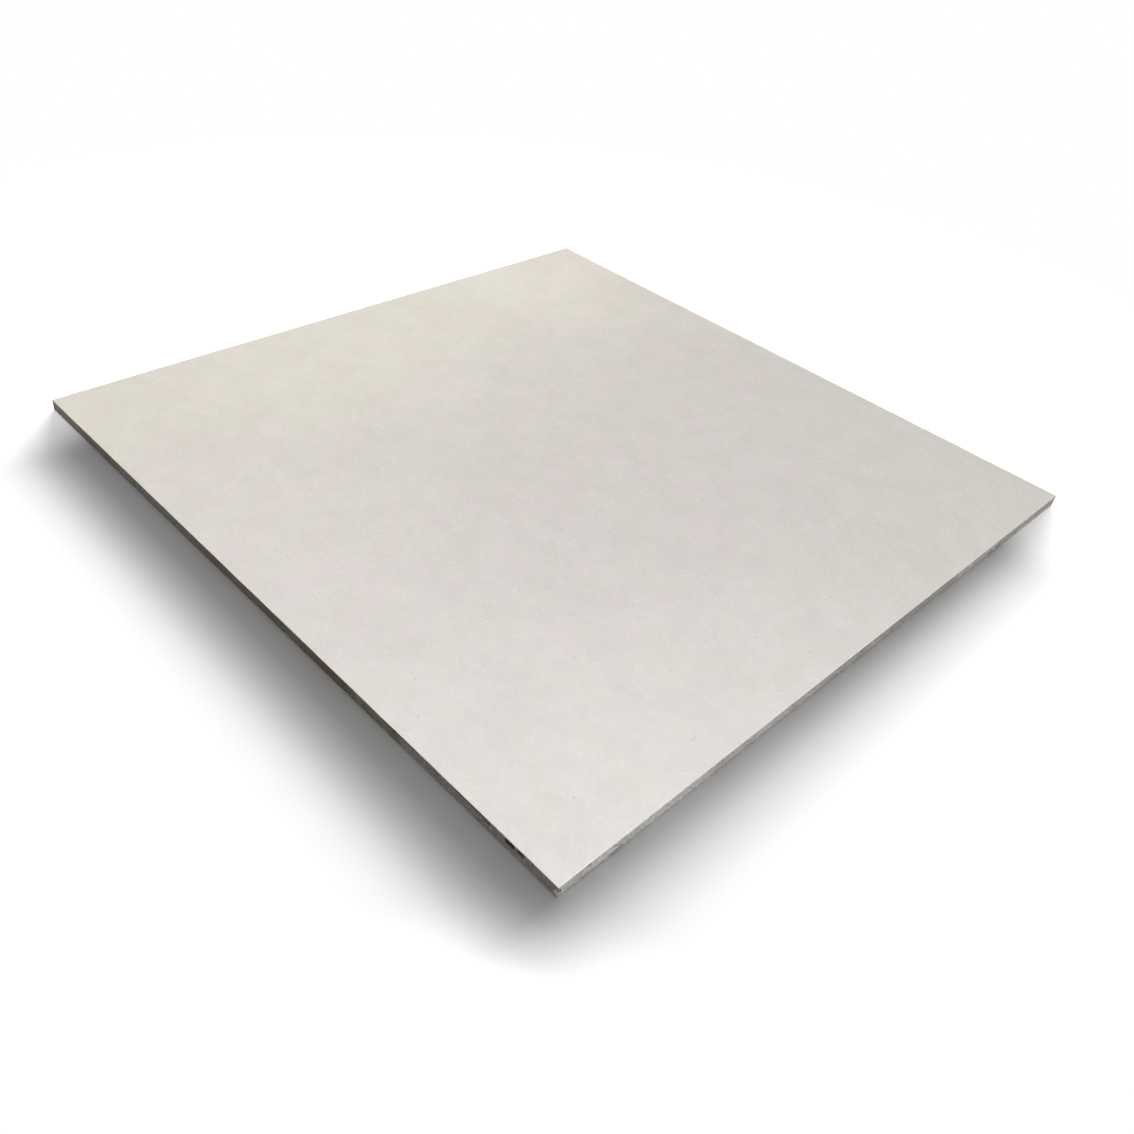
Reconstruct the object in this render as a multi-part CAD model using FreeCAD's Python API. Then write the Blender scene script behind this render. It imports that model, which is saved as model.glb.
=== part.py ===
"""A square limestone tile, sawn from the block and honed on its face.

The tile is one solid: a slab with a honed face up, a sawn bed down and four sawn sides.
The rims of the face and of the bed are eased by a narrow chamfer, the arris, and so are
the four upright corners. Handling has knocked a few shell-shaped chips out of the rims,
and on the south side the saw has opened two small natural voids of the stone.

Frame, in millimetres: the origin is the centre of the bed, +Z points up out of the face,
and the sides are parallel to X and Y. South is -Y and east is +X.
"""

import FreeCAD
import Part

import os

# Overall sizes
LENGTH_X = 600.0
LENGTH_Y = 600.0
THICKNESS = 9.0

# Eased rims, each the leg of a 45 degree chamfer
FACE_ARRIS = 0.4
BED_ARRIS = 0.6
CORNER_ARRIS = 0.5

# Chips along a rim: from the south-east corner to the chip's middle, the chip's length
# along the rim, and its bite, which is how deep it goes in from the sharp rim
EAST_FACE_CHIPS = [
    {"along": 23.0, "length": 5.0, "bite": 0.7},
]
EAST_BED_CHIPS = [
    {"along": 46.5, "length": 11.0, "bite": 1.9},
    {"along": 487.0, "length": 8.0, "bite": 1.5},
    {"along": 501.0, "length": 7.0, "bite": 1.3},
    {"along": 524.0, "length": 9.0, "bite": 1.2},
]
SOUTH_BED_CHIPS = [
    {"along": 150.0, "length": 10.0, "bite": 1.0},
    {"along": 256.0, "length": 12.0, "bite": 1.1},
]

# The chip out of the upright south-east corner
CORNER_CHIP_HEIGHT = 6.0  # along the upright corner
CORNER_CHIP_BITE = 2.4
CORNER_CHIP_BELOW_FACE = 5.0  # from the face down to the chip's middle

# Natural voids opened by the saw, as round-ended grooves along the south side
SOUTH_VOIDS = [
    {"along": 38.5, "length": 7.5, "radius": 1.3},
    {"along": 30.0, "length": 5.5, "radius": 1.0},
]
VOID_ROOF = 0.9  # stone left between a void and the face
VOID_SUNK = 0.6  # from the side in to a void's centre line

SAME_HEIGHT = 0.01  # edges nearer to a height than this lie at it

EAST = FreeCAD.Vector(1, 0, 0)
SOUTH = FreeCAD.Vector(0, -1, 0)
UP = FreeCAD.Vector(0, 0, 1)


def east_rim(along, z):
    """The point of the sharp east rim at height z, measured from the south-east corner."""
    return FreeCAD.Vector(LENGTH_X / 2, along - LENGTH_Y / 2, z)


def south_rim(along, z):
    """The point of the sharp south rim at height z, measured from the south-east corner."""
    return FreeCAD.Vector(LENGTH_X / 2 - along, -LENGTH_Y / 2, z)


def edges_at(slab, z):
    """The slab's edges that lie level at height z."""
    def level(edge):
        box = edge.BoundBox
        return abs(box.ZMin - z) < SAME_HEIGHT and abs(box.ZMax - z) < SAME_HEIGHT

    return [edge for edge in slab.Edges if level(edge)]


def eased_slab():
    """The slab with its upright corners and the rims of its face and bed chamfered."""
    south_west = FreeCAD.Vector(-LENGTH_X / 2, -LENGTH_Y / 2, 0)
    slab = Part.makeBox(LENGTH_X, LENGTH_Y, THICKNESS, south_west)
    upright = [edge for edge in slab.Edges if edge.BoundBox.ZLength > THICKNESS / 2]
    slab = slab.makeChamfer(CORNER_ARRIS, upright)
    slab = slab.makeChamfer(FACE_ARRIS, edges_at(slab, THICKNESS))
    return slab.makeChamfer(BED_ARRIS, edges_at(slab, 0.0))


def chip_ball(edge_point, outward, length, bite):
    """A ball that cuts a scallop of that length and bite out of a straight edge.

    The scallop's chord is its length and its rise is its bite, which give the ball's
    radius. The ball's centre lies outwards from the edge, so that only the bite is in.
    """
    radius = (length * length / 4 + bite * bite) / (2 * bite)
    centre = edge_point + outward.normalize() * (radius - bite)
    return Part.makeSphere(radius, centre)


def rim_chips():
    """The balls for the chips along the rims of the face and the bed."""
    rims = [
        (EAST_FACE_CHIPS, east_rim, THICKNESS, EAST + UP),
        (EAST_BED_CHIPS, east_rim, 0.0, EAST - UP),
        (SOUTH_BED_CHIPS, south_rim, 0.0, SOUTH - UP),
    ]
    return [
        chip_ball(rim(chip["along"], z), outward, chip["length"], chip["bite"])
        for chips, rim, z, outward in rims
        for chip in chips
    ]


def corner_chip():
    """The ball for the chip out of the upright south-east corner."""
    middle = east_rim(0.0, THICKNESS - CORNER_CHIP_BELOW_FACE)
    return chip_ball(middle, EAST + SOUTH, CORNER_CHIP_HEIGHT, CORNER_CHIP_BITE)


def void_groove(along, length, radius):
    """A round-ended bar, sunk into the south side just under the face."""
    half_straight = length / 2 - radius
    z = THICKNESS - VOID_ROOF - radius
    east_end = south_rim(along - half_straight, z) - SOUTH * VOID_SUNK
    west_end = south_rim(along + half_straight, z) - SOUTH * VOID_SUNK
    bar = Part.makeCylinder(radius, 2 * half_straight, west_end, EAST)
    return bar.multiFuse([Part.makeSphere(radius, end) for end in (east_end, west_end)])


def limestone_tile():
    """The eased slab with every chip and void cut out of it, as one solid."""
    tile = eased_slab()
    voids = [void_groove(**void) for void in SOUTH_VOIDS]
    for missing in [*rim_chips(), corner_chip(), *voids]:
        tile = tile.cut(missing)
    return tile.Solids[0]


def main():
    tile = limestone_tile()
    full_slab = LENGTH_X * LENGTH_Y * THICKNESS
    print("valid", tile.isValid(), "faces", len(tile.Faces))
    print("volume", round(tile.Volume, 1), "mm3, share of the full slab", tile.Volume / full_slab)
    os.makedirs("parts", exist_ok=True)
    tile.exportStep("parts/limestone_tile.step")


main()
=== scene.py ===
# %% [markdown]
# # A honed limestone tile
#
# The real object is one thin slab of pale limestone. A gang saw cut it from the block, a
# bridge saw squared its four sides, and the face was honed to a soft matte finish. The
# rims were eased a little, and handling has chipped them. Nothing on it moves.
#
# The lesson builds the slab as one closed mesh of numpy arrays, breaks its rims where the
# real ones are broken, and then spends its effort on stone: colour that drifts across the
# face, cloudy mottling, small fossils, and rougher sawn sides.

# %% Load the frame
import math

import bpy
import numpy as np
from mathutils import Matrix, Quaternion, Vector


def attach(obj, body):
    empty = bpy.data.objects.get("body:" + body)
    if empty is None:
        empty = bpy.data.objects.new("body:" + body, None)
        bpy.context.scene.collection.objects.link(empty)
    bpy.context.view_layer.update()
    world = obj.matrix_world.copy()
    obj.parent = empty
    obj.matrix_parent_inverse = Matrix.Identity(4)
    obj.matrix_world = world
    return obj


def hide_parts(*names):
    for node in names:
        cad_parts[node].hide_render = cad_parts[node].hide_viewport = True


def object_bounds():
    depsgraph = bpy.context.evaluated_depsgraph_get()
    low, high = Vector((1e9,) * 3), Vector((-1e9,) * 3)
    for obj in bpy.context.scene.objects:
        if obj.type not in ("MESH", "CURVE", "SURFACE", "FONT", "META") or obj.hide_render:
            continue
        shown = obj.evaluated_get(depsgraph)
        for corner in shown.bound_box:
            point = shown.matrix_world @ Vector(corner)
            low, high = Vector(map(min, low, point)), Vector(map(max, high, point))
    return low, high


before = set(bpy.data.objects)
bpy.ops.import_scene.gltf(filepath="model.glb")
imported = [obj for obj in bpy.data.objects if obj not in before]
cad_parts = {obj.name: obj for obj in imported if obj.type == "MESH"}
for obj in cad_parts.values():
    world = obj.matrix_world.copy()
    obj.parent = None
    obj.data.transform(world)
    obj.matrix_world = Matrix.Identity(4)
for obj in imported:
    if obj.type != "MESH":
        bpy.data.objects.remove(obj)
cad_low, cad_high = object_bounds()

print("CAD box", tuple(cad_low), tuple(cad_high))

# %% [markdown]
# ## The camera
#
# Every place below is in metres, in the frame of the CAD part: the origin is the centre
# of the bed and +Z points up out of the face. South is -Y and east is +X, so the corner
# nearest to the camera is the south-east one.
#
# A camera can be aimed at a target, but this one is held by hand, a little rolled, so it
# is given its place, the direction it looks from, and its roll. An azimuth of 0 looks
# along +Y, as in the other views.

# %% Camera
CAMERA_PLACE = Vector((0.4929, -0.5619, 0.4880))
CAMERA_AZIMUTH = math.radians(41.98)
CAMERA_ELEVATION = math.radians(39.01)
CAMERA_ROLL = math.radians(7.10)
CAMERA_LENS = 33.36  # millimetres, on a sensor 36 mm wide
CAMERA_SHIFT = (0.0252, -0.0032)


def direction_from(azimuth, elevation):
    """The unit vector from the tile towards something at that azimuth and elevation."""
    level = math.cos(elevation)
    return Vector((math.sin(azimuth) * level, -math.cos(azimuth) * level, math.sin(elevation)))


camera_data = bpy.data.cameras.new("camera")
camera_data.lens = CAMERA_LENS
camera_data.shift_x, camera_data.shift_y = CAMERA_SHIFT
camera = bpy.data.objects.new("camera", camera_data)
bpy.context.scene.collection.objects.link(camera)
back = direction_from(CAMERA_AZIMUTH, CAMERA_ELEVATION)
camera.rotation_mode = "QUATERNION"
camera.location = CAMERA_PLACE
camera.rotation_quaternion = (-back).to_track_quat("-Z", "Y") @ Quaternion((0, 0, 1), CAMERA_ROLL)
bpy.context.scene.camera = camera
bpy.context.scene.view_settings.view_transform = "Standard"
print("camera", tuple(camera.location), "lens", camera_data.lens)

# %% [markdown]
# ## The tile's outline, crowded towards its corners
#
# A surface is a function of two parameters on a grid. Here the first parameter runs once
# round the tile and the second runs over its edge: in from the face, over the rim, down
# the side and in again under the bed. Small damage needs small steps, and most of it is
# near the corners, so the steps round the outline crowd together there.

# %% Outline
MM = 0.001
half_x, half_y = cad_high.x, cad_high.y
thickness = cad_high.z - cad_low.z
SIDE_STEPS = 512  # a power of two, because the steps are halved again and again inwards
CROWDING = 0.6  # 0 spaces the steps evenly, and near 1 crowds them into the corners


def crowded(share):
    """Maps -1..1 to -1..1. Formula: share, blended with the sine of a quarter turn of it."""
    return (1 - CROWDING) * share + CROWDING * np.sin(share * math.pi / 2)


along_side = crowded(np.linspace(-1, 1, SIDE_STEPS + 1))
run, one = along_side[:-1], np.ones(SIDE_STEPS)
outline = np.stack(
    [np.concatenate([run, one, -run, -one]), np.concatenate([-one, run, one, -run])], axis=-1
)
outward = np.repeat([(0, -1, 0), (1, 0, 0), (0, 1, 0), (-1, 0, 0)], SIDE_STEPS, axis=0)
print("outline", len(outline), "points, shortest step",
      round(float(np.diff(along_side).min() * half_x / MM), 2), "mm")

# %% [markdown]
# ## The edge, from the face over the side to the bed
#
# The profile is a list of rows. Each row is a square drawn round the tile, at an inset
# from the side and at a height. Rows sit close together at the two rims, where the arris
# and the chips are, and evenly down the side.

# %% Profile rows
FACE_ARRIS, BED_ARRIS, CORNER_ARRIS = 0.4 * MM, 0.6 * MM, 0.5 * MM  # as in the CAD part
FACE_INSETS = np.array([5.0, 3.2, 2.0, 1.2, 0.7, 0.4, 0.2, 0.0]) * MM
BED_INSETS = np.array([0.0, 0.3, 0.6, 1.2, 2.0, 3.2, 5.0]) * MM
SIDE_ROWS = 18

depths = np.linspace(FACE_ARRIS, thickness - BED_ARRIS, SIDE_ROWS)
depths = np.concatenate([[FACE_ARRIS / 2], depths, [thickness - BED_ARRIS / 2]])
insets = np.concatenate([FACE_INSETS, np.zeros(len(depths)), BED_INSETS])
heights = np.concatenate([
    np.full(len(FACE_INSETS), thickness), thickness - depths, np.zeros(len(BED_INSETS)),
])
face_rim_row = len(FACE_INSETS) - 1
bed_rim_row = len(FACE_INSETS) + len(depths)
reach = np.array([half_x, half_y])
edge = np.empty((len(insets), len(outline), 3))
edge[..., :2] = outline * (reach - insets[:, None])[:, None, :]
edge[..., 2] = heights[:, None] + cad_low.z
print("edge grid", edge.shape[:2], "rows by columns")

# %% [markdown]
# ## Wavering instead of ruled
#
# Stone edges waver. Blender has noise textures, but the mesh is made of arrays, so this
# is the same idea in numpy: many sine waves that run in random directions add up to a
# smooth random field. A fixed seed gives the same stone every time.

# %% A smooth random field
SHORTEST_WAVE, LONGEST_WAVE = 0.6, 1.6  # shares of the wavelength asked for


def ripple(points, wavelength, seed, waves=24):
    """A smooth field from about -1 to 1 at points.

    Formula: the sum of sines of a plane wave each, in random directions, with random
    phases and with wavelengths near the given one, over the root of twice their number.
    """
    rng = np.random.default_rng(seed)
    headings = rng.normal(size=(waves, 3))
    headings /= np.linalg.norm(headings, axis=1, keepdims=True)
    pace = 2 * math.pi / (wavelength * rng.uniform(SHORTEST_WAVE, LONGEST_WAVE, waves))
    phases = rng.uniform(0, 2 * math.pi, waves)
    sines = np.sin(points @ (headings * pace[:, None]).T + phases)
    return sines.sum(-1) / math.sqrt(2 * waves)


print("ripple spread", round(float(ripple(edge, 10 * MM, 1).std()), 2))

# %% [markdown]
# ## Easing the rims
#
# A Bevel modifier would give a rim of one even width. The real arris was rubbed by hand,
# so here each rim is cut by a sloping plane whose depth wavers: whatever lies outside the
# plane is pressed back onto it.

# %% Arrises
ARRIS_WAVER = 0.45  # share of an arris's width that comes and goes along the rim
WAVER_SHORT, WAVER_LONG = 7 * MM, 45 * MM
WAVER_LEAST, WAVER_MOST = 0.3, 2.0


def press_back(points, normal, distance):
    """Moves what lies beyond a plane onto it. Formula: p less n times max(0, n.p - distance)."""
    beyond = np.maximum(points @ normal - distance, 0)
    return points - beyond[..., None] * normal


waver = 1 + ARRIS_WAVER * ripple(edge, WAVER_SHORT, 2) + ARRIS_WAVER * ripple(edge, WAVER_LONG, 3)
waver = np.clip(waver, WAVER_LEAST, WAVER_MOST)
for side in ((0, -1), (1, 0), (0, 1), (-1, 0)):
    for up, leg in ((1, FACE_ARRIS), (-1, BED_ARRIS)):
        normal = np.array([*side, up]) / math.sqrt(2)
        rim = np.array([side[0] * half_x, side[1] * half_y, cad_high.z if up > 0 else cad_low.z])
        edge = press_back(edge, normal, rim @ normal - waver * leg / math.sqrt(2))
for corner in ((1, -1), (1, 1), (-1, 1), (-1, -1)):
    normal = np.array([*corner, 0]) / math.sqrt(2)
    rim = np.array([corner[0] * half_x, corner[1] * half_y, 0])
    edge = press_back(edge, normal, rim @ normal - CORNER_ARRIS / math.sqrt(2))
print("arrises", FACE_ARRIS / MM, BED_ARRIS / MM, CORNER_ARRIS / MM, "mm, wavering")

# %% [markdown]
# ## Chips and opened voids
#
# Stone breaks in shells, so a chip is scooped out by a ball: points inside the ball slide
# inwards until they reach its far side. The same sum scoops the two natural voids, with a
# bar that has round ends instead of a ball. The large chips are the CAD part's own, and
# the ball of each is a little rough, as a broken surface is.

# %% Scoops
EAST, SOUTH, UP = np.eye(3)[0], -np.eye(3)[1], np.eye(3)[2]
EAST_FACE_CHIPS = [(23.0, 5.0, 0.7)]  # from the south-east corner, length, bite: millimetres
EAST_BED_CHIPS = [(46.5, 11.0, 1.9), (487.0, 8.0, 1.5), (501.0, 7.0, 1.3), (524.0, 9.0, 1.2)]
SOUTH_BED_CHIPS = [(150.0, 10.0, 1.0), (256.0, 12.0, 1.1)]
CORNER_CHIP = (6.0, 2.4, 5.0)  # height, bite, and its middle's depth below the face
SOUTH_VOIDS = [(38.5, 7.5, 1.3), (30.0, 5.5, 1.0)]  # from that corner, length, radius
VOID_ROOF, VOID_SUNK = 0.9, 0.6
FRACTURE_ROUGHNESS = 0.12  # share of a bite
FRACTURE_GRAIN = 1.8 * MM

broken = np.zeros(edge.shape[:2])  # metres of stone gone from each point
pocket = np.zeros(edge.shape[:2])  # metres of depth in an opened void
clay_and_shade = np.zeros(edge.shape[:2])  # 1 where clay, a crack or painted shade darkens the side, 0 elsewhere


def rim_point(side, along, z):
    """A point of the sharp rim of the east or south side, from the south-east corner."""
    if side is EAST:
        return np.array([half_x, along * MM - half_y, z])
    return np.array([half_x - along * MM, -half_y, z])


def slide_out(points, centre, radius, inward, axis=None, half_length=0.0):
    """How far each point slides along inward to leave a ball, or a bar with round ends.

    Formula: with q from the centre to the point, the slide is the larger root of
    |q + slide * inward| = radius, and nothing for a point outside. For a bar, q first
    loses up to half_length of its part along the bar's axis.
    """
    q = points - centre
    if axis is not None:
        part = q @ axis
        q = q - np.clip(part, -half_length, half_length)[..., None] * axis
    along = q @ inward
    inside = radius**2 - (q * q).sum(-1)
    return np.where(inside > 0, np.sqrt(np.maximum(along**2 + inside, 0)) - along, 0)


fracture = ripple(edge, FRACTURE_GRAIN, 8)


def chip(points, rim, out, length, bite):
    """Scoops a chip of that length and bite, in metres, out of a rim, and returns both."""
    out = out / np.linalg.norm(out)
    radius = (length**2 / 4 + bite**2) / (2 * bite)
    rough = 1 + FRACTURE_ROUGHNESS * bite / radius * fracture
    slide = slide_out(points, rim + out * (radius - bite), radius * rough, -out)
    return points - slide[..., None] * out, slide


rim_chips = [(EAST, c, 1) for c in EAST_FACE_CHIPS] + [(EAST, c, -1) for c in EAST_BED_CHIPS]
rim_chips += [(SOUTH, c, -1) for c in SOUTH_BED_CHIPS]
for side, (along, length, bite), up in rim_chips:
    rim = rim_point(side, along, cad_high.z if up > 0 else cad_low.z)
    edge, slide = chip(edge, rim, side + up * UP, length * MM, bite * MM)
    broken += slide
height, bite, below = (value * MM for value in CORNER_CHIP)
edge, corner_slide = chip(edge, rim_point(EAST, 0, cad_high.z - below), EAST + SOUTH, height, bite)
for along, length, radius in SOUTH_VOIDS:
    centre = rim_point(SOUTH, along, cad_high.z - (VOID_ROOF + radius) * MM)
    centre = centre - SOUTH * VOID_SUNK * MM
    rough = radius * MM * (1 + FRACTURE_ROUGHNESS * fracture)
    slide = slide_out(edge, centre, rough, -SOUTH, EAST, (length / 2 - radius) * MM)
    edge = edge - slide[..., None] * SOUTH
    pocket += slide
print("chips", len(rim_chips) + 1, "voids", len(SOUTH_VOIDS))

# %% [markdown]
# ## Dark clay, cracks and painted shade
#
# Clay fills the voids and has run a little way down out of them, and cracks behind a chip
# fill with it too. The voids and the corner chip are also darkened with painted shade, and
# other marks are painted shade: lines under the south side's face rim and along its bed,
# and spots on the east side by its bed chips. Each mark is a bar between two points of a
# side, and its darkening fades with the distance from the bar, a little ragged.

# %% Stains and painted shade
CLAY_RUN = 0.7 * MM  # how far clay has run down out of a void
MARKS = [  # side, then along and height at each end and radius, in millimetres, where a
    # radius below 0 makes a fainter mark
    # first painted shade in the bed chip at 46.5 mm, then two cracks behind it and a faint mark
    (EAST, 41.0, 1.2, 48.0, 0.9, 0.30), (EAST, 44.0, 6.6, 48.5, 4.6, -0.05),
    (EAST, 48.5, 4.6, 51.0, 1.6, -0.10), (EAST, 21.5, 8.4, 25.0, 7.6, -0.20),
    # painted shadow: spots on the east side by its bed chips at 487 and 501 mm
    (EAST, 483.5, 2.2, 485.5, 2.4, 1.30), (EAST, 497.5, 1.8, 499.0, 2.0, 1.10),
    (SOUTH, 55.0, 6.8, 58.5, 6.4, 0.30),
    # painted shade: lines under the south side's face rim
    (SOUTH, 58.0, 8.0, 84.0, 8.2, 0.05), (SOUTH, 120.0, 8.2, 152.0, 8.0, 0.02),
    # painted shade along the south side's bed rim
    (SOUTH, 330.0, 0.4, 520.0, 0.5, 0.05),
]
MARK_REACH = 1.0 * MM
MARK_RAGGED = 0.35
NOTCH_REACH = 0.4 * MM  # how deep the corner chip is where its painted shade is full


def bar_gap(points, start, end, radius):
    """The distance from each point to a bar with round ends, less than 0 inside.

    Formula: the distance to the nearest point between the ends, less the radius.
    """
    way = end - start
    share = np.clip((points - start) @ way / (way @ way), 0, 1)
    return np.linalg.norm(points - start - share[..., None] * way, axis=-1) - radius


# Each void is darkened over its opening and a little way below it, with dark clay and painted
# shade.
bars = []
for along, length, radius in SOUTH_VOIDS:
    half, z = length / 2 - radius, cad_high.z - (VOID_ROOF + radius) * MM - CLAY_RUN
    bars.append((rim_point(SOUTH, along - half, z), rim_point(SOUTH, along + half, z), radius))
for side, along, z, far_along, far_z, radius in MARKS:
    bars.append((rim_point(side, along, z * MM), rim_point(side, far_along, far_z * MM), radius))
for start, end, radius in bars:
    gap = bar_gap(edge, start, end, radius * MM)
    clay_and_shade = np.maximum(clay_and_shade, np.clip(1 - gap / MARK_REACH + MARK_RAGGED * fracture, 0, 1))
# painted shade in the upper part of the corner chip
notch_top = np.clip((edge[..., 2] - (cad_high.z - below)) / MM + 1, 0, 1)
clay_and_shade = np.maximum(clay_and_shade, np.clip(corner_slide / NOTCH_REACH, 0, 1) * notch_top)
print("marks", len(bars), "points stained", int((clay_and_shade > 0.5).sum()))

# %% [markdown]
# ## Small nicks all round
#
# A tile that has been stacked and carried loses crumbs from every rim. They are more of
# the same scoops, thrown at random along the eight long rims.

# %% Nicks
NICKS_ON_A_RIM = {1: 14, -1: 30}  # the bed's rims, which drag on things, lose more
NICK_SPAN = 0.97  # share of a rim that nicks may lie on
NICK_SHORT, NICK_LONG, NICK_BASE = 1.2, 5.0, 0.15  # millimetres
NICK_SHALLOW, NICK_DEEP = 0.12, 0.24  # bite for each bit of length, over the base
FACE_NICK_SHARE = 0.7  # length of a nick on a face rim over one on a bed rim
rng = np.random.default_rng(11)
nicks = 0
for side in (SOUTH, EAST, -SOUTH, -EAST):
    for up, count in NICKS_ON_A_RIM.items():
        for place in rng.uniform(-NICK_SPAN, NICK_SPAN, count):
            length = rng.uniform(NICK_SHORT, NICK_LONG) * MM * (1.0 if up < 0 else FACE_NICK_SHARE)
            bite = length * rng.uniform(NICK_SHALLOW, NICK_DEEP) + NICK_BASE * MM
            run_way = np.array([-side[1], side[0], 0])
            rim = (side + run_way * place) * np.array([half_x, half_y, 0])
            rim[2] = cad_high.z if up > 0 else cad_low.z
            edge, slide = chip(edge, rim, side + up * UP, length, bite)
            broken += slide
            nicks += 1
print("nicks", nicks)

# %% [markdown]
# ## Saw marks on the sides
#
# The saw leaves the sides slightly uneven: long shallow waves, and a fine ridge at every
# advance of the blade. All of it goes inwards, so the tile never grows past its size.

# %% Saw relief
SAW_WAVE, SAW_RIDGE = 0.10 * MM, 0.035 * MM
SAW_PITCH = 2.6 * MM  # the blade's advance
SAW_LEAN = 0.35  # how far a ridge leans along the side for each bit of height
SAW_WANDER = 0.8 * MM  # how far a ridge strays from its even place
LONG_WAVE, SHORT_WAVE, SHORT_SHARE = 24 * MM, 3 * MM, 0.35
UNBROKEN = 0.05 * MM  # the saw's marks show where no more than this is gone

steps = np.diff(outline * reach, axis=0, prepend=outline[:1] * reach)
round_way = np.cumsum(np.linalg.norm(steps, axis=1))
lean = round_way[None, :] + SAW_LEAN * edge[..., 2] + SAW_WANDER * ripple(edge, 20 * MM, 5)
ridges = 0.5 + 0.5 * np.sin(2 * math.pi * lean / SAW_PITCH)
waves = 0.5 + 0.5 * ripple(edge, LONG_WAVE, 6) + SHORT_SHARE * ripple(edge, SHORT_WAVE, 7)
waves = np.clip(waves, 0, 1.5)
on_side = np.zeros(len(insets))
on_side[face_rim_row + 2:bed_rim_row - 1] = 1
sunk = on_side[:, None] * (SAW_WAVE * waves + SAW_RIDGE * ridges) * (broken + pocket < UNBROKEN)
edge = edge - sunk[..., None] * outward
print("deepest saw mark", round(float(sunk.max() / MM), 3), "mm")

# %% [markdown]
# ## Closing the mesh
#
# The face and the bed are flat, so they need few points. From the edge inwards each ring
# has half the points of the ring before it, joined by three triangles to a step, and the
# middle is a plain grid. The bed is the same again, wound the other way, so that every
# face of the closed mesh points outwards.

# %% Rings and middle
RING_INSETS = np.array([9.0, 17.0, 33.0, 65.0]) * MM
rows, columns = edge.shape[:2]
index = np.arange(rows * columns).reshape(rows, columns)
points, faces, zones = [edge.reshape(-1, 3)], [], []
FACE_ZONE, SIDE_ZONE, BED_ZONE = 0, 1, 2
here, right = index, np.roll(index, -1, axis=1)
edge_quads = np.stack([here[:-1], here[1:], right[1:], right[:-1]], axis=-1)
edge_zones = np.full(edge_quads.shape[:2], SIDE_ZONE)
edge_zones[:face_rim_row] = FACE_ZONE
edge_zones[bed_rim_row:] = BED_ZONE
faces += edge_quads.reshape(-1, 4).tolist()
zones += edge_zones.ravel().tolist()


def keep(polygons, zone):
    """Adds polygons to the mesh, turned over on the bed so that they face down."""
    faces.extend((polygons if zone == FACE_ZONE else polygons[:, ::-1]).tolist())
    zones.extend([zone] * len(polygons))


def fill_in(ring, z, zone):
    """Fills a ring of points to its middle at height z: halving rings, then a grid."""
    made = sum(len(part) for part in points)
    for inset in RING_INSETS:
        inner = np.arange(len(ring) // 2) + made
        step = columns // len(inner)
        places = np.empty((len(inner), 3))
        places[:, :2] = outline[::step] * (reach - inset)
        places[:, 2] = z
        points.append(places)
        made += len(inner)
        even, odd, after = ring[::2], ring[1::2], np.roll(ring[::2], -1)
        across = np.roll(inner, -1)
        triangles = np.concatenate([
            np.stack([inner, even, odd], -1),
            np.stack([inner, odd, across], -1),
            np.stack([across, odd, after], -1),
        ])
        keep(triangles, zone)
        ring = inner
    count = len(ring) // 4
    share = along_side[::SIDE_STEPS // count]
    grid = np.empty((count + 1, count + 1), int)
    grid[0, :-1] = ring[:count]
    grid[:-1, -1] = ring[count:2 * count]
    grid[-1, :0:-1] = ring[2 * count:3 * count]
    grid[:0:-1, 0] = ring[3 * count:]
    inside = np.arange((count - 1) ** 2).reshape(count - 1, count - 1)
    grid[1:-1, 1:-1] = inside + made
    middle_x, middle_y = reach - RING_INSETS[-1]
    x, y = np.meshgrid(share[1:-1] * middle_x, share[1:-1] * middle_y)
    points.append(np.stack([x.ravel(), y.ravel(), np.full(x.size, z)], -1))
    squares = np.stack([grid[:-1, :-1], grid[:-1, 1:], grid[1:, 1:], grid[1:, :-1]], -1)
    keep(squares.reshape(-1, 4), zone)


fill_in(index[0], cad_high.z, FACE_ZONE)
fill_in(index[-1], cad_low.z, BED_ZONE)
points = np.concatenate(points)
print("points", len(points), "faces", len(faces),
      "triangles", sum(len(face) - 2 for face in faces))

# %% The mesh
SHARP_ANGLE = math.radians(28)
mesh = bpy.data.meshes.new("limestone_slab")
mesh.from_pydata(points.tolist(), [], faces)
mesh.polygons.foreach_set("use_smooth", np.ones(len(faces), bool))
mesh.polygons.foreach_set("material_index", np.array(zones, np.int32))
mesh.set_sharp_from_angle(angle=SHARP_ANGLE)
for name, values in (("broken", broken / MM), ("pocket", pocket / MM), ("clay_and_shade", clay_and_shade)):
    full = np.zeros(len(points), np.float32)
    full[:values.size] = values.ravel()
    mesh.attributes.new(name, "FLOAT", "POINT").data.foreach_set("value", full)
mesh.update()
tile = bpy.data.objects.new("limestone_slab", mesh)
bpy.context.scene.collection.objects.link(tile)
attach(tile, "root")
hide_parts("limestone_tile")
low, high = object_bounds()
print("tile", tuple(round(v / MM, 2) for v in low), tuple(round(v / MM, 2) for v in high), "mm")

# %% [markdown]
# ## A map for the stone's surface
#
# The patterns below read the place in space and need no map, but a baked copy of the
# tile does. The face gets most of the square, because it shows most, the bed a small
# corner, and the four sides a strip each.

# %% Unwrap
FACE_SHARE, BED_SHARE, STRIP_SHARE, GAP = 0.73, 0.25, 0.055, 0.008
corner_points = np.empty(len(mesh.loops), np.int32)
mesh.loops.foreach_get("vertex_index", corner_points)
sizes = np.array([len(face) for face in faces])
corner_zones = np.repeat(np.array(zones), sizes)
flat = points[corner_points, :2] / (2 * reach) + 0.5
uv = np.empty((len(corner_points), 2))
on_face, on_bed = corner_zones == FACE_ZONE, corner_zones == BED_ZONE
uv[on_face] = flat[on_face] * FACE_SHARE + GAP
uv[on_bed] = flat[on_bed] * BED_SHARE + (GAP, FACE_SHARE + 2 * GAP)
quad_rows, quad_columns = np.divmod(np.arange(edge_quads[..., 0].size), columns)
row_of = (quad_rows[:, None] + (0, 1, 1, 0)).ravel()
step_of = (quad_columns[:, None] % SIDE_STEPS + (0, 0, 1, 1)).ravel()
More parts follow.
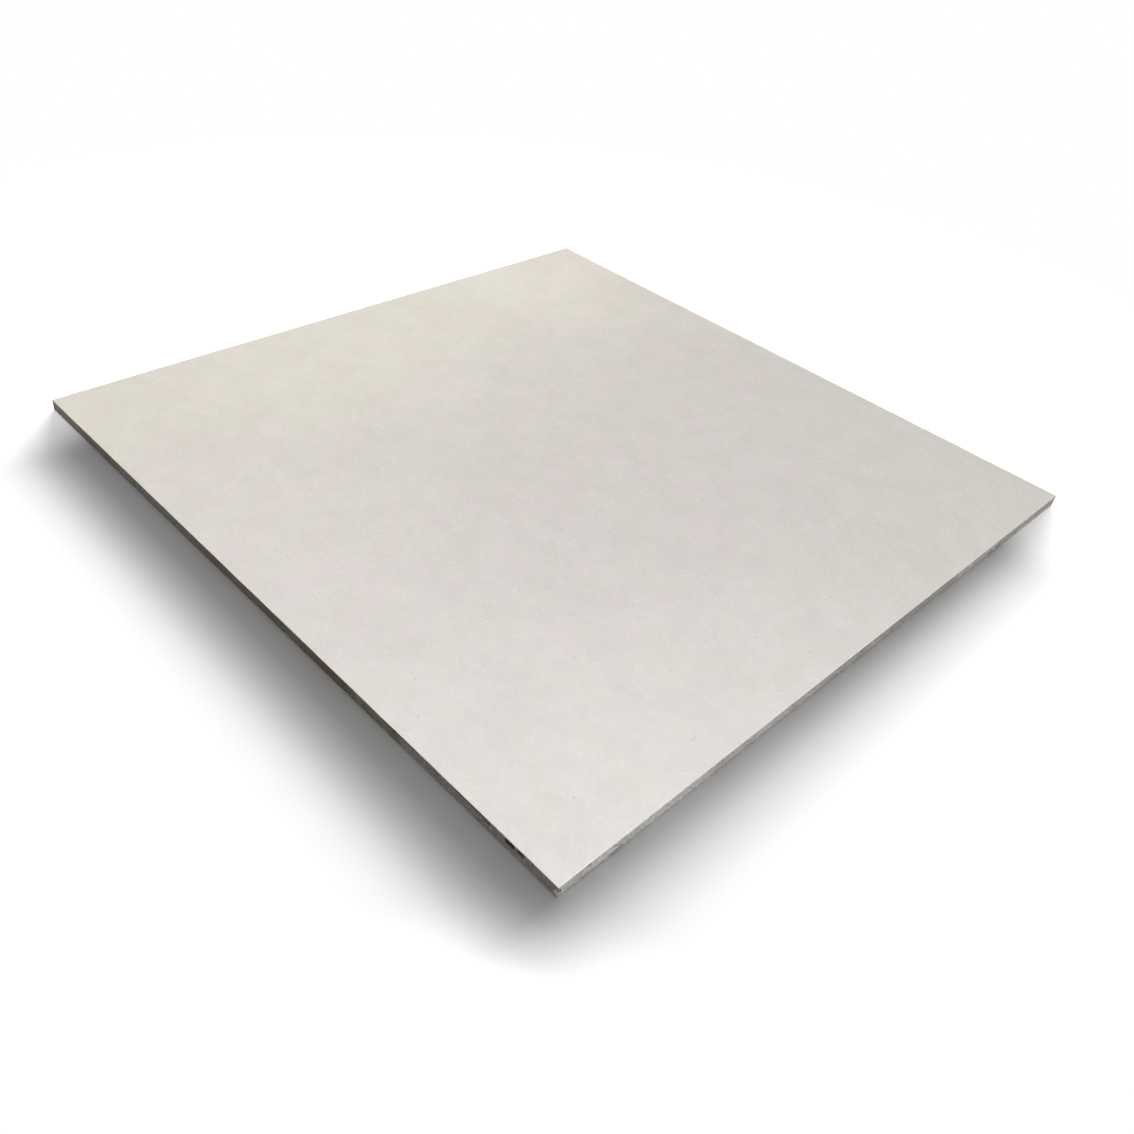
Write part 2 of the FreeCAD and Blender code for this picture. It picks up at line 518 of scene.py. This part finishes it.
strip = np.repeat(quad_columns // SIDE_STEPS, 4)
down = (row_of - face_rim_row) / (bed_rim_row - face_rim_row)
strips = np.stack([
    FACE_SHARE + 3 * GAP + strip * (STRIP_SHARE + GAP) + down * STRIP_SHARE,
    (along_side[step_of] / 2 + 0.5) * FACE_SHARE + GAP,
], -1)
on_strip = np.flatnonzero(corner_zones[:len(strips)] == SIDE_ZONE)
uv[on_strip] = strips[on_strip]
mesh.uv_layers.new(name="OFBake").data.foreach_set("uv", uv.astype(np.float32).ravel())
print("map spans", uv.min(0).round(3), uv.max(0).round(3))

# %% [markdown]
# ## Tools for materials
#
# A material is a small network. These helpers keep each line to one node: values are set
# on its sockets, and where a value is another node's socket, the two are linked.

# %% Node helpers


def node(tree, kind, settings=None, **values):
    """Adds a node. settings are its properties and values are its sockets, by name.

    In a name, an underscore stands for a space.
    """
    made = tree.nodes.new("ShaderNode" + kind)
    for name, value in (settings or {}).items():
        setattr(made, name, value)
    for name, value in values.items():
        connect(tree, made.inputs[name.replace("_", " ")], value)
    return made


def connect(tree, socket, value):
    """Links a socket to another node's output, or sets it to a plain value."""
    if isinstance(value, bpy.types.NodeSocket):
        tree.links.new(value, socket)
    else:
        socket.default_value = value


def mix(tree, share, first, second, blend="MIX"):
    """Blends two colours and returns the blend's socket."""
    made = node(tree, "Mix", {"data_type": "RGBA", "blend_type": blend, "clamp_factor": True})
    for place, value in ((0, share), (6, first), (7, second)):
        connect(tree, made.inputs[place], value)
    return made.outputs[2]


def sums(tree, operation, *terms):
    """One sum, such as ADD or MULTIPLY, of its terms."""
    made = node(tree, "Math", {"operation": operation})
    for socket, term in zip(made.inputs, terms):
        connect(tree, socket, term)
    return made.outputs[0]


def ramp(tree, value, low, high, to_low=0.0, to_high=1.0):
    """A smooth step: to_low at low and to_high at high."""
    made = node(tree, "MapRange", {"interpolation_type": "SMOOTHSTEP"}, Value=value,
                From_Min=low, From_Max=high, To_Min=to_low, To_Max=to_high)
    return made.outputs[0]


def multiplied(tree, skin, tint):
    """A colour multiplied by another."""
    return mix(tree, 1.0, skin, tint, "MULTIPLY")


def noise(tree, place, scale, detail=3.0, roughness=0.55, distortion=0.0):
    """Blender's noise as a value about 0.5, with scale in features to a metre."""
    made = node(tree, "TexNoise", Vector=place, Scale=scale, Detail=detail,
                Roughness=roughness, Distortion=distortion)
    return made.outputs[0]


def moved(tree, place, by=(0, 0, 0), turn=(0, 0, 0), stretch=(1, 1, 1)):
    """A pattern's coordinates, so that the pattern is stretched, then turned, then moved."""
    made = node(tree, "Mapping", {"vector_type": "TEXTURE"}, Vector=place, Location=by,
                Rotation=turn, Scale=stretch)
    return made.outputs[0]


def new_group(name, inputs, outputs):
    """A shader node group with named sockets, its place input first."""
    tree = bpy.data.node_groups.new(name, "ShaderNodeTree")
    tree.interface.new_socket("Place", in_out="INPUT", socket_type="NodeSocketVector")
    for label, kind, value in inputs:
        socket = tree.interface.new_socket(label, in_out="INPUT", socket_type="NodeSocket" + kind)
        socket.default_value = value
    for label, kind in outputs:
        tree.interface.new_socket(label, in_out="OUTPUT", socket_type="NodeSocket" + kind)
    return tree, tree.nodes.new("NodeGroupInput"), tree.nodes.new("NodeGroupOutput")


def use_group(tree, group, **values):
    """Places a group in a tree."""
    made = tree.nodes.new("ShaderNodeGroup")
    made.node_tree = group
    for name, value in values.items():
        connect(tree, made.inputs[name.replace("_", " ")], value)
    return made


def colour(red, green, blue):
    """A colour given as the numbers 0 to 255 of a paint chart, made linear."""
    share = np.array([red, green, blue]) / 255
    linear = np.where(share > 0.04045, ((share + 0.055) / 1.055) ** 2.4, share / 12.92)
    return (*linear.tolist(), 1.0)


print("helpers ready")

# %% [markdown]
# ## Stone tone: slow drift and soft clouds
#
# A slab of limestone is never one colour. Lime mud settled in changing water, so this one
# drifts from a warm buff on the west to a cool grey in the middle. Towards the south-east
# corner it is painted a paler grey, partly its own tone and partly painted light, and soft
# patches lie over it, some of them partly painted sheen and light. On top of that lie clouds
# a few centimetres across, some a little pink and some a little green. One group makes this
# tone for face, sides and bed alike, so that the stone reads as one block.

# %% Stone tone group
# The front tone is partly painted light: the face is painted paler towards its south-east corner.
MIDDLE_TONE, WEST_TONE, FRONT_TONE_AND_LIGHT = (212, 206, 201), (221, 216, 205), (227, 222, 217)
WEST_START, WEST_FULL = -0.02, -0.26  # metres east of the middle
FRONT_START, FRONT_FULL = 0.08, 0.60  # metres east and south of the middle, added
WANDER = 0.08  # metres, the most by which the tones' borders stray
PATCHES = [  # middle's x and y, reach, strength and tint, over the whole height of the slab
    # the first two, at the north-west corner, are partly painted sheen; the third, darker at the
    # north-east, and the last, paler at the south rim, are partly painted light
    (-0.29, 0.19, 0.13, 0.7, (229, 226, 215)), (-0.25, 0.26, 0.09, 0.6, (228, 219, 208)),
    (0.28, 0.29, 0.30, 0.8, (212, 208, 200)), (-0.02, -0.29, 0.22, 0.5, (225, 218, 213)),
]
CLOUD_KINDS = [  # where its noise is taken, features to a metre, start, full, and tint
    ((3, 1, 4), 42.0, 0.40, 0.64, (255, 252, 254)), ((7, 5, 2), 34.0, 0.42, 0.66, (252, 255, 252)),
]
CLOUD_DETAIL, CLOUD_ROUGHNESS = 5.0, 0.7

tone_group, came, gone = new_group(
    "stone_tone",
    [("Clouds", "Float", 1.0)],
    [("Color", "Color"), ("Shade", "Float")],
)
place = came.outputs["Place"]
east, north, _ = node(tone_group, "SeparateXYZ", Vector=place).outputs
drift = noise(tone_group, place, 7.0, 3.0)
wander = sums(tone_group, "MULTIPLY_ADD", drift, 2 * WANDER, -WANDER)
west = ramp(tone_group, sums(tone_group, "ADD", east, wander), WEST_START, WEST_FULL)
diagonal = sums(tone_group, "SUBTRACT", east, north)
front = ramp(tone_group, sums(tone_group, "ADD", diagonal, wander), FRONT_START, FRONT_FULL)
tone = mix(tone_group, west, colour(*MIDDLE_TONE), colour(*WEST_TONE))
tone = mix(tone_group, front, tone, colour(*FRONT_TONE_AND_LIGHT))
for x, y, spread, strength, tint in PATCHES:
    away = node(tone_group, "VectorMath", {"operation": "DISTANCE"}, Vector=place)
    away.inputs[1].default_value = (x, y, 0)
    strayed = sums(tone_group, "ADD", away.outputs["Value"], wander)
    patch = sums(tone_group, "MULTIPLY", ramp(tone_group, strayed, spread, 0.0), strength)
    tone = mix(tone_group, patch, tone, colour(*tint))
for taken, scale, start, full, tint in CLOUD_KINDS:
    mist = noise(tone_group, moved(tone_group, place, taken), scale, CLOUD_DETAIL, CLOUD_ROUGHNESS)
    cloud = ramp(tone_group, mist, start, full)
    cloud = sums(tone_group, "MULTIPLY", cloud, came.outputs["Clouds"])
    tone = mix(tone_group, cloud, tone, multiplied(tone_group, tone, colour(*tint)))
mottle = noise(tone_group, moved(tone_group, place, (1, 9, 3)), 45.0, 6.0, 0.68)
shade = ramp(tone_group, mottle, 0.3, 0.7)
tone_group.links.new(tone, gone.inputs["Color"])
tone_group.links.new(shade, gone.inputs["Shade"])
print("group", tone_group.name)

# %% [markdown]
# ## Fossils and specks
#
# Close up, the stone holds slivers of broken shell, paler than the mud round them and
# lying in every direction, and small dark specks of iron and clay. Slivers are noise that
# is drawn out along one axis and cut off high, once for each of three headings. Specks are
# the middles of Voronoi cells, kept only in some of the cells.

# %% Fossil group
SLIVERS_TO_A_METRE, SLIVER_STRETCH = 420.0, (2.6, 1, 1)
SLIVER_START, SLIVER_FULL = 0.69, 0.77
SLIVER_HEADINGS = [(0.4, (2, 1, 0)), (1.5, (5, 3, 1)), (2.6, (8, 4, 2))]  # turn, noise's place
BEND_SCALE, BEND_REACH = 700.0, 0.0022  # the wobble that keeps specks from being round
SPECK_CELLS, SPECK_SIZE, SPECK_BORDER = 125.0, 0.16, 0.06
SPECK_RARITY, SPECK_FULL = 0.5, 1.1
GRAIN_SCALE = 620.0

fossil_group, came, gone = new_group(
    "stone_fossils",
    [("Size", "Float", 1.0)],
    [("Slivers", "Float"), ("Specks", "Float"), ("Grain", "Float")],
)
place = node(fossil_group, "VectorMath", {"operation": "DIVIDE"})
fossil_group.links.new(came.outputs["Place"], place.inputs[0])
fossil_group.links.new(came.outputs["Size"], place.inputs[1])
place = place.outputs[0]


def sliver_layer(turn, by):
    """Slivers along one heading: noise drawn out along it, cut off high."""
    drawn_out = moved(fossil_group, place, by, (0, 0, turn), SLIVER_STRETCH)
    drawn_out = noise(fossil_group, drawn_out, SLIVERS_TO_A_METRE, 1.0, 0.4, 0.8)
    return ramp(fossil_group, drawn_out, SLIVER_START, SLIVER_FULL)


slivers = sliver_layer(*SLIVER_HEADINGS[0])
for turn, by in SLIVER_HEADINGS[1:]:
    slivers = sums(fossil_group, "MAXIMUM", slivers, sliver_layer(turn, by))
wobble = node(fossil_group, "TexNoise", Vector=place, Scale=BEND_SCALE).outputs["Color"]
wobble = node(fossil_group, "VectorMath", {"operation": "SCALE"}, Vector=wobble, Scale=BEND_REACH)
bent = node(fossil_group, "VectorMath", {"operation": "ADD"}, Vector=place)
connect(fossil_group, bent.inputs[1], wobble.outputs[0])
cells = node(fossil_group, "TexVoronoi", Vector=bent.outputs[0], Scale=SPECK_CELLS)
kept = node(fossil_group, "SeparateColor", Color=cells.outputs["Color"]).outputs[0]
speck_size = ramp(fossil_group, kept, SPECK_RARITY, SPECK_FULL, 0.0, SPECK_SIZE)
near = sums(fossil_group, "SUBTRACT", speck_size, cells.outputs["Distance"])
specks = ramp(fossil_group, near, 0.0, SPECK_BORDER)
grain = noise(fossil_group, place, GRAIN_SCALE, 3.0, 0.7)
for name, value in (("Slivers", slivers), ("Specks", specks), ("Grain", grain)):
    fossil_group.links.new(value, gone.inputs[name])
print("group", fossil_group.name)

# %% [markdown]
# ## The honed face
#
# Honing takes the saw marks off and leaves a fine, even, matte skin. The relief is only
# hundredths of a millimetre, so it is bump. The roughness varies with the grain, because
# shell takes a little more polish than mud.

# %% Honed face
WHITE_CHART = (255, 255, 255)
HONED_MOTTLE, HONED_SPECKLE = (249, 249, 249), (249, 249, 248)
SLIVER_TINT, SLIVER_STRENGTH = (240, 236, 230), 0.24
SPECK_TINT, SPECK_STRENGTH = (150, 142, 136), 0.34
BROKEN_TINT, BROKEN_STRENGTH = (232, 229, 223), 0.5
HONED_ROUGH, HONED_SMOOTH = 0.66, 0.56
HONED_BUMP, HONED_DEPTH = 0.35, 0.00006


def new_material(name):
    """A material with an empty network, its Principled shader and its object coordinates."""
    material = bpy.data.materials.new(name)
    material.use_nodes = True
    tree = material.node_tree
    tree.nodes.clear()
    shader = node(tree, "BsdfPrincipled")
    out = node(tree, "OutputMaterial")
    tree.links.new(shader.outputs[0], out.inputs["Surface"])
    return material, tree, shader, node(tree, "TexCoord").outputs["Object"]


def measured(tree, name):
    """What the mesh stores under that name at each point."""
    return node(tree, "Attribute", {"attribute_name": name}).outputs["Fac"]


def shaded(tree, skin, share, tint):
    """A colour multiplied by a tint where share is 0, and left as it is where share is 1."""
    return multiplied(tree, skin, mix(tree, share, colour(*tint), colour(*WHITE_CHART)))


def laid_on(tree, skin, share, strength, tint):
    """A colour with a tint laid on it, by a share that changes over the surface."""
    return mix(tree, sums(tree, "MULTIPLY", share, strength), skin, colour(*tint))


honed, tree, shader, place = new_material("honed_limestone")
tone = use_group(tree, tone_group, Place=place).outputs
fossils = use_group(tree, fossil_group, Place=place).outputs
skin = shaded(tree, tone["Color"], tone["Shade"], HONED_MOTTLE)
skin = shaded(tree, skin, ramp(tree, fossils["Grain"], 0.3, 0.7), HONED_SPECKLE)
skin = laid_on(tree, skin, fossils["Slivers"], SLIVER_STRENGTH, SLIVER_TINT)
skin = laid_on(tree, skin, fossils["Specks"], SPECK_STRENGTH, SPECK_TINT)
freshly_broken = ramp(tree, measured(tree, "broken"), 0.02, 0.2, 0.0, BROKEN_STRENGTH)
skin = mix(tree, freshly_broken, skin, colour(*BROKEN_TINT))
connect(tree, shader.inputs["Base Color"], skin)
polish = ramp(tree, fossils["Grain"], 0.2, 0.8, HONED_ROUGH, HONED_SMOOTH)
connect(tree, shader.inputs["Roughness"], polish)
shader.inputs["Specular IOR Level"].default_value = 0.35
pits = sums(tree, "MULTIPLY", fossils["Specks"], -1.5)
relief = sums(tree, "ADD", fossils["Grain"], pits)
bump = node(tree, "Bump", Strength=HONED_BUMP, Distance=HONED_DEPTH, Height=relief)
connect(tree, shader.inputs["Normal"], bump.outputs[0])
print("material", honed.name)

# %% [markdown]
# ## The sawn sides
#
# The same stone, cut and never finished: a shade darker, quite rough, with blade marks
# across it, dirt in blotches and dust on the east side, painted shade on the south side,
# clay and painted shade in cracks, chips and under the rims, fresh pale stone where a chip
# has come off, and painted shade and dark clay at the bottom of the opened voids.

# %% Painted shade and dust
PAINTED_SHADE_MOST = 0.85  # how deep the painted shade is at its darkest, a little east of the south side's middle
PAINTED_SHADE_LEAST = 0.29  # how deep it is everywhere else on the south side
DUST_MOST = 0.34  # how thick the dust is at the middle of the east side
DUST_NORTH = 0.20  # how thick it is at the north end
PAINTED_SHADE_STRETCH = (-0.26, 0.12, 0.14, 0.21)  # x where it starts, is full, is last full and ends
DUST_STRETCH = (-0.14, -0.02, 0.05, 0.15)  # y where it starts, is full, is last full and ends
RAGGED = 0.06  # metres, the most by which their ends stray
SIDE_START, SIDE_FULL = 0.294, 0.298  # metres from the middle, where a side begins


def band(tree, value, start, full, end, gone_by):
    """1 between full and end, fading to 0 at start and at gone_by."""
    return sums(tree, "MULTIPLY", ramp(tree, value, start, full), ramp(tree, value, gone_by, end))


def painted_shade_and_dust(tree, place):
    """Two masks: painted shade, on the south side, and dust, on the east side."""
    east, north, _ = node(tree, "SeparateXYZ", Vector=place).outputs
    ragged = noise(tree, moved(tree, place, (2, 6, 1)), 18.0, 4.0)
    ragged = ramp(tree, ragged, 0.3, 0.7, -RAGGED, RAGGED)
    east_way = sums(tree, "ADD", east, ragged)
    north_way = sums(tree, "ADD", north, ragged)
    on_south = ramp(tree, north, -SIDE_START, -SIDE_FULL)
    on_east = ramp(tree, east, SIDE_START, SIDE_FULL)
    # painted shade, darkest a little east of the middle of the south side and light over all of it
    shade_band = sums(tree, "MULTIPLY", band(tree, east_way, *PAINTED_SHADE_STRETCH), PAINTED_SHADE_MOST)
    south_shade = sums(tree, "MAXIMUM", shade_band, PAINTED_SHADE_LEAST)
    middle = sums(tree, "MULTIPLY", band(tree, north_way, *DUST_STRETCH), DUST_MOST)
    dust = sums(tree, "ADD", middle, ramp(tree, north_way, 0.19, 0.27, 0.0, DUST_NORTH))
    return sums(tree, "MULTIPLY", south_shade, on_south), sums(tree, "MULTIPLY", dust, on_east)


print("damp from", PAINTED_SHADE_LEAST, "to", PAINTED_SHADE_MOST, "dust to", DUST_MOST)

# %% Sawn sides
SAWN_FOSSIL_SIZE, SAWN_CLOUDS = 1.3, 2.0  # the saw leaves both coarser than honing does
ROSY, GREENISH = (255, 251, 252), (250, 254, 252)
SAWN_MOTTLE, GRIT_TINT = (222, 219, 214), (192, 189, 184)
SAWN_SLIVER_TINT, FRESH_TINT = (226, 222, 212), (196, 193, 188)
# The first of these two tints is painted shade on the south side, olive-brown.
PAINTED_SHADE_TINT, DUST_TINT = (166, 158, 130), (162, 157, 145)
# Both tints below darken with dark clay and painted shade: the marks, and the voids' bottoms.
CLAY_AND_SHADE_TINT, VOID_CLAY_AND_SHADE_TINT = (84, 76, 64), (38, 34, 29)
SAWN_ROUGH, SAWN_SMOOTH = 0.92, 0.82
SAWN_BUMP, SAWN_DEPTH = 0.8, 0.00022


def sawn_stone(name, dulled, dirt_tint, dirt_most):
    """The sawn finish: dulled is its colour over the honed one's, dirt what settles on it."""
    material, tree, shader, place = new_material(name)
    tone = use_group(tree, tone_group, Place=place, Clouds=SAWN_CLOUDS).outputs
    fossils = use_group(tree, fossil_group, Place=place, Size=SAWN_FOSSIL_SIZE).outputs
    skin = multiplied(tree, tone["Color"], colour(*dulled))
    drift = noise(tree, moved(tree, place, (5, 8, 3)), 17.0, 2.0)
    hue = mix(tree, ramp(tree, drift, 0.40, 0.60), colour(*ROSY), colour(*GREENISH))
    skin = multiplied(tree, skin, hue)
    skin = shaded(tree, skin, tone["Shade"], SAWN_MOTTLE)
    blotches = noise(tree, moved(tree, place, (6, 2, 8), (0, 0, 0), (1, 1, 0.5)), 26.0, 4.0, 0.6)
    skin = mix(tree, ramp(tree, blotches, 0.46, 0.72, 0.0, dirt_most), skin, colour(*dirt_tint))
    grit = ramp(tree, fossils["Grain"], 0.3, 0.75)
    skin = shaded(tree, skin, grit, GRIT_TINT)
    skin = laid_on(tree, skin, fossils["Slivers"], 0.35, SAWN_SLIVER_TINT)
    skin = laid_on(tree, skin, ramp(tree, measured(tree, "broken"), 0.03, 0.3), 0.35, FRESH_TINT)
    south_shade, dust = painted_shade_and_dust(tree, place)
    # painted shade on the south side, olive-brown, then dust on the east side
    skin = mix(tree, south_shade, skin, multiplied(tree, skin, colour(*PAINTED_SHADE_TINT)))
    skin = mix(tree, dust, skin, multiplied(tree, skin, colour(*DUST_TINT)))
    # dark clay, cracks and painted shade, along the marks
    skin = laid_on(tree, skin, measured(tree, "clay_and_shade"), 0.85, CLAY_AND_SHADE_TINT)
    # painted shade and dark clay at the bottom of the opened voids
    skin = laid_on(tree, skin, ramp(tree, measured(tree, "pocket"), 0.05, 0.6), 0.93, VOID_CLAY_AND_SHADE_TINT)
    connect(tree, shader.inputs["Base Color"], skin)
    rough = ramp(tree, grit, 0.0, 1.0, SAWN_ROUGH, SAWN_SMOOTH)
    connect(tree, shader.inputs["Roughness"], rough)
    shader.inputs["Specular IOR Level"].default_value = 0.2
    swells = sums(tree, "MULTIPLY", tone["Shade"], 1.2)
    relief = sums(tree, "ADD", fossils["Grain"], swells)
    bump = node(tree, "Bump", Strength=SAWN_BUMP, Distance=SAWN_DEPTH, Height=relief)
    connect(tree, shader.inputs["Normal"], bump.outputs[0])
    return material


sawn_side = sawn_stone("sawn_limestone", (244, 244, 247), (158, 152, 146), 0.32)
sawn_bed = sawn_stone("sawn_bed_limestone", (228, 226, 221), (176, 168, 152), 0.30)
for material in (honed, sawn_side, sawn_bed):
    mesh.materials.append(material)
print("materials", [material.name for material in mesh.materials])

# %% [markdown]
# ## The floor
#
# The tile lies on a plain white sweep. Where the camera looks, the floor is white paper
# that takes a shadow, and further out it glows a steady white, so that no horizon shows.
# To the light that bounces off it, it is a darker grey, which keeps the tile's shaded
# sides as dark as they are over an ordinary floor.

# %% Floor
FLOOR_HALF = 6.0
FLOOR_DROP = 0.00005  # just under the bed, so that the two surfaces never coincide
GLOW_START, GLOW_FULL = 0.62, 0.85  # metres from the middle, where paper turns to glow
PAPER, DULL_PAPER = (0.978, 0.978, 0.979, 1), (0.22, 0.22, 0.22, 1)
WHITE_LIGHT = (1, 1, 1, 1)


def seen_by_eye(tree):
    """1 for what the camera sees, also in a gloss or through glass, and 0 for bounced light."""
    path = node(tree, "LightPath").outputs
    shown = sums(tree, "MAXIMUM", path["Is Glossy Ray"], path["Is Transmission Ray"])
    return sums(tree, "MAXIMUM", path["Is Camera Ray"], shown)


floor_mesh = bpy.data.meshes.new("floor")
corners = np.array([(-1, -1), (1, -1), (1, 1), (-1, 1)]) * FLOOR_HALF
floor_mesh.from_pydata([(x, y, cad_low.z - FLOOR_DROP) for x, y in corners], [], [(0, 1, 2, 3)])
floor = bpy.data.objects.new("floor", floor_mesh)
bpy.context.scene.collection.objects.link(floor)

paper = bpy.data.materials.new("white_sweep")
paper.use_nodes = True
tree = paper.node_tree
tree.nodes.clear()
distance = node(tree, "VectorMath", {"operation": "LENGTH"})
connect(tree, distance.inputs[0], node(tree, "TexCoord").outputs["Object"])
far = ramp(tree, distance.outputs["Value"], GLOW_START, GLOW_FULL)
lit = node(tree, "BsdfDiffuse", Color=PAPER)
glow = node(tree, "Emission", Color=WHITE_LIGHT, Strength=1.0)
dull = node(tree, "BsdfDiffuse", Color=DULL_PAPER)
white = node(tree, "MixShader", Fac=far)
tree.links.new(lit.outputs[0], white.inputs[1])
tree.links.new(glow.outputs[0], white.inputs[2])
whole = node(tree, "MixShader", Fac=seen_by_eye(tree))
tree.links.new(dull.outputs[0], whole.inputs[1])
tree.links.new(white.outputs[0], whole.inputs[2])
tree.links.new(whole.outputs[0], node(tree, "OutputMaterial").inputs["Surface"])
floor_mesh.materials.append(paper)
print("floor", 2 * FLOOR_HALF, "m wide")

# %% [markdown]
# ## Light
#
# Soft daylight from above and behind lights the face, a lamp low on the right the east
# side, and the south side keeps to the shade. Five more lamps light only the floor. Two
# long strips, one above the other, low behind the tile, throw the broad soft shadow in
# front of it, and three round pools from above wash it out at three of the tile's corners.
# Light linking gives each lamp its receivers, so that the floor's lamps never touch the
# tile.

# %% Lamps
def only(name, piece):
    """A collection that holds one piece, for a lamp's light linking."""
    group = bpy.data.collections.new(name)
    group.objects.link(piece)
    return group


for_tile, for_floor = only("tile_only", tile), only("floor_only", floor)


def lamp(name, azimuth, elevation, distance, width, height, power, tint, receivers):
    """A rectangle of light that faces the tile from that azimuth and elevation."""
    data = bpy.data.lights.new(name, "AREA")
    data.shape = "RECTANGLE"
    data.size, data.size_y, data.energy, data.color = width, height, power, tint
    made = bpy.data.objects.new(name, data)
    bpy.context.scene.collection.objects.link(made)
    away = direction_from(math.radians(azimuth), math.radians(elevation))
    made.location = away * distance
    made.rotation_euler = (-away).to_track_quat("-Z", "Y").to_euler()
    made.visible_camera = False
    made.light_linking.receiver_collection = receivers


WHITE = (1.0, 1.0, 1.0)
WARM, NEUTRAL, COOL = (1.0, 0.98, 0.95), (1.0, 0.994, 0.992), (0.905, 0.953, 1.0)
lamp("overhead", 298, 75, 2.0, 1.5, 1.5, 23.7, NEUTRAL, for_tile)
lamp("back_left", 240, 38, 1.8, 0.9, 0.9, 6.0, WARM, for_tile)
lamp("right_fill", 79, 19, 1.7, 1.2, 0.6, 18.5, COOL, for_tile)
lamp("floor_strip_low", 211, 8.3, 10.0, 13.0, 1.1, 6300.0, WHITE, for_floor)
lamp("floor_strip_high", 211, 17.0, 10.0, 13.0, 2.4, 850.0, WHITE, for_floor)


SPOT_HEIGHT = 1.0


def floor_spot(name, x, y, spread, power):
    """A soft round pool of light on the floor, straight down, as wide as spread."""
    data = bpy.data.lights.new(name, "SPOT")
    data.energy, data.spot_blend, data.shadow_soft_size = power, 1.0, 0.01
    data.spot_size = 2 * math.atan(spread / SPOT_HEIGHT)
    made = bpy.data.objects.new(name, data)
    bpy.context.scene.collection.objects.link(made)
    made.location = (x, y, SPOT_HEIGHT)
    made.visible_camera = False
    made.light_linking.receiver_collection = for_floor


floor_spot("south_west_pool", -0.33, -0.325, 0.105, 20.0)
floor_spot("north_east_pool", 0.325, 0.325, 0.14, 16.0)
floor_spot("south_east_pool", 0.385, -0.415, 0.15, 16.0)

AMBIENT = 0.24  # strength of the white room's light on the tile and the floor
world = bpy.data.worlds.new("white_room")
bpy.context.scene.world = world
world.use_nodes = True
tree = world.node_tree
tree.nodes.clear()
strength = node(tree, "MapRange", Value=seen_by_eye(tree), To_Min=AMBIENT, To_Max=1.0)
backdrop = node(tree, "Background", Color=WHITE_LIGHT, Strength=strength.outputs[0])
tree.links.new(backdrop.outputs[0], node(tree, "OutputWorld").inputs["Surface"])
print("lamps", [item.name for item in bpy.data.lights])
